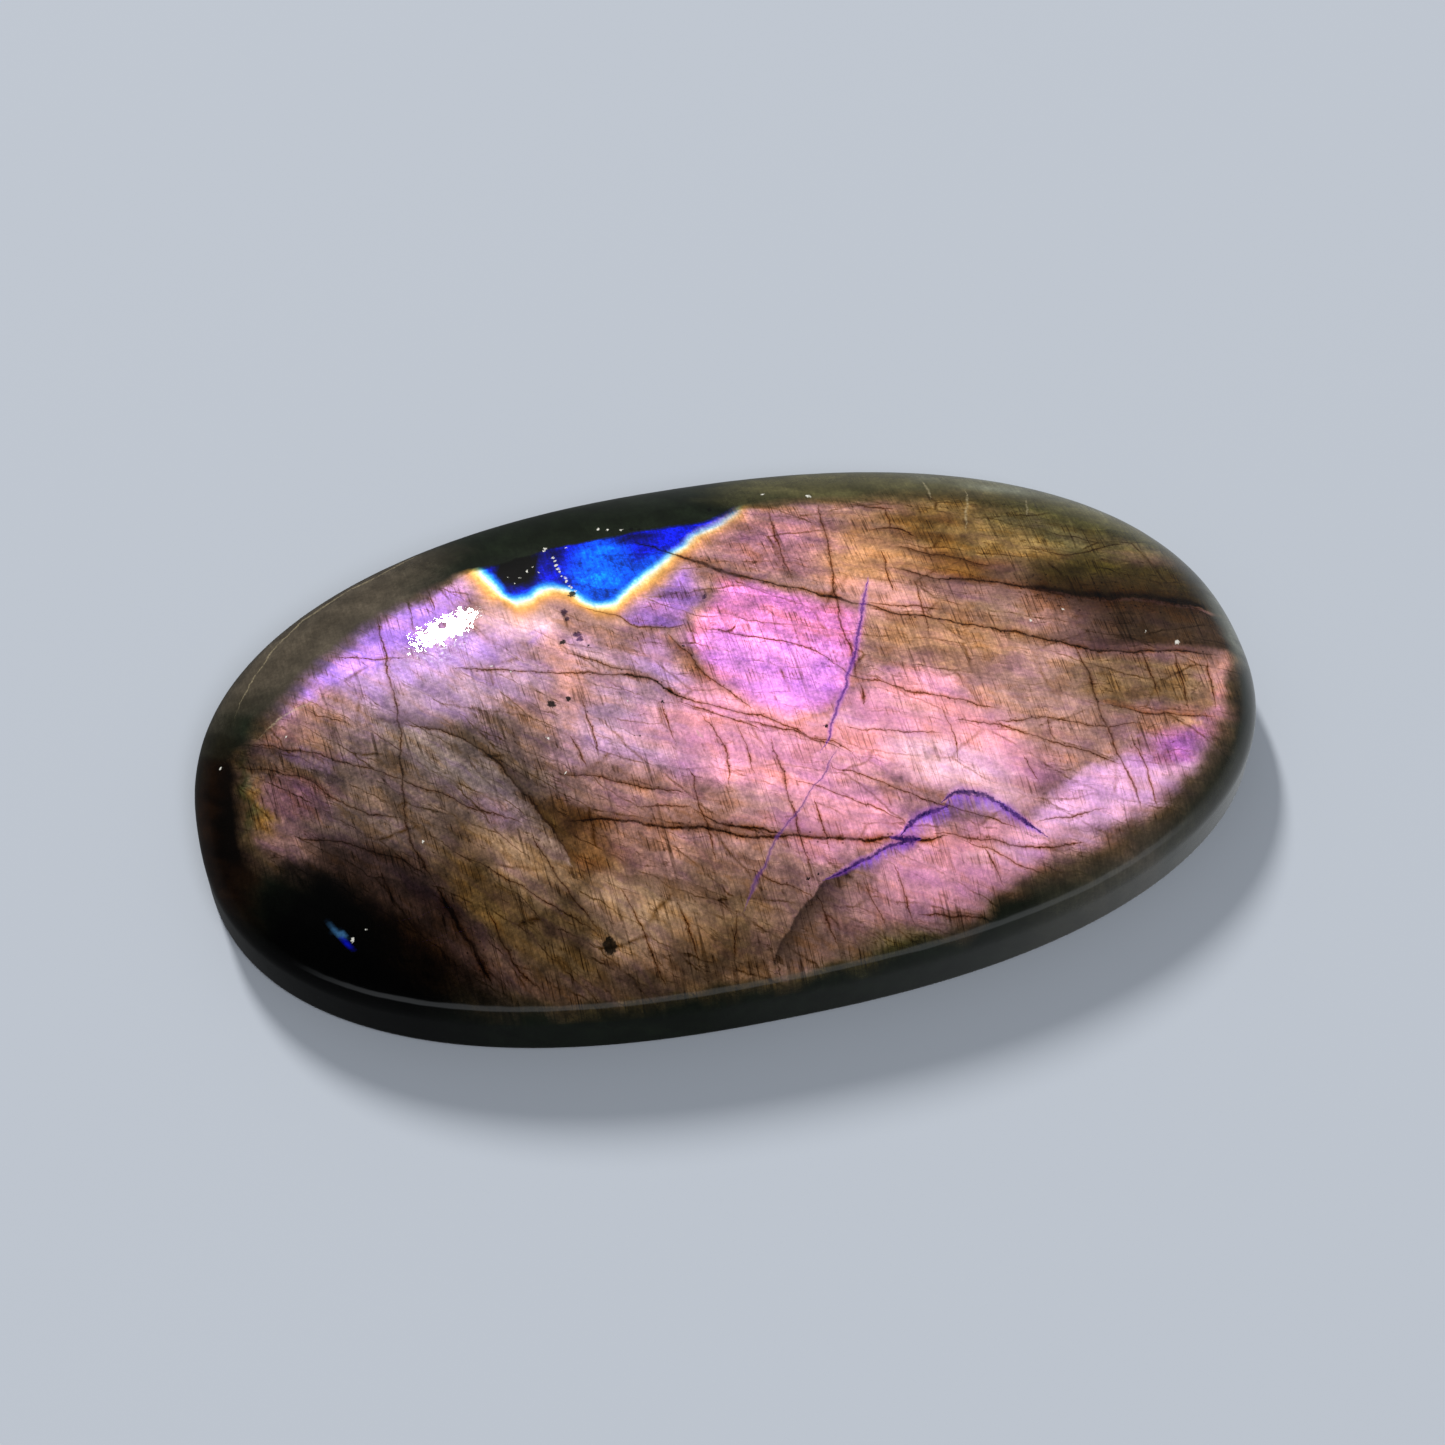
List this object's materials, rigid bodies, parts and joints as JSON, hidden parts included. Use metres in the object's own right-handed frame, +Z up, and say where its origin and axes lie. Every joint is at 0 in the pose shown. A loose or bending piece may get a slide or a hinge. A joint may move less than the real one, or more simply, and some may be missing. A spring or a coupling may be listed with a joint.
{
  "type": "labradorite cabochon",
  "caption": "Large oval labradorite cabochon with a polished low dome, an upright girdle and a flat back to rest on or to set in a bezel.",
  "frame": {"origin": "middle of the flat back, at the bottom of the stone's box", "axes": "+X along the length of the stone, +Y across its width, +Z up out of the domed face"},
  "size_m": [0.07, 0.0386, 0.0105],
  "materials": {
    "labradorite": "glossy polish over pink, violet and olive schiller with a blue patch, dark cracks and fine cleavage lines; dark grey-green body at the girdle and the back"
  },
  "bodies": {
    "root": {"cabochon": "labradorite"}
  },
  "joints": []
}
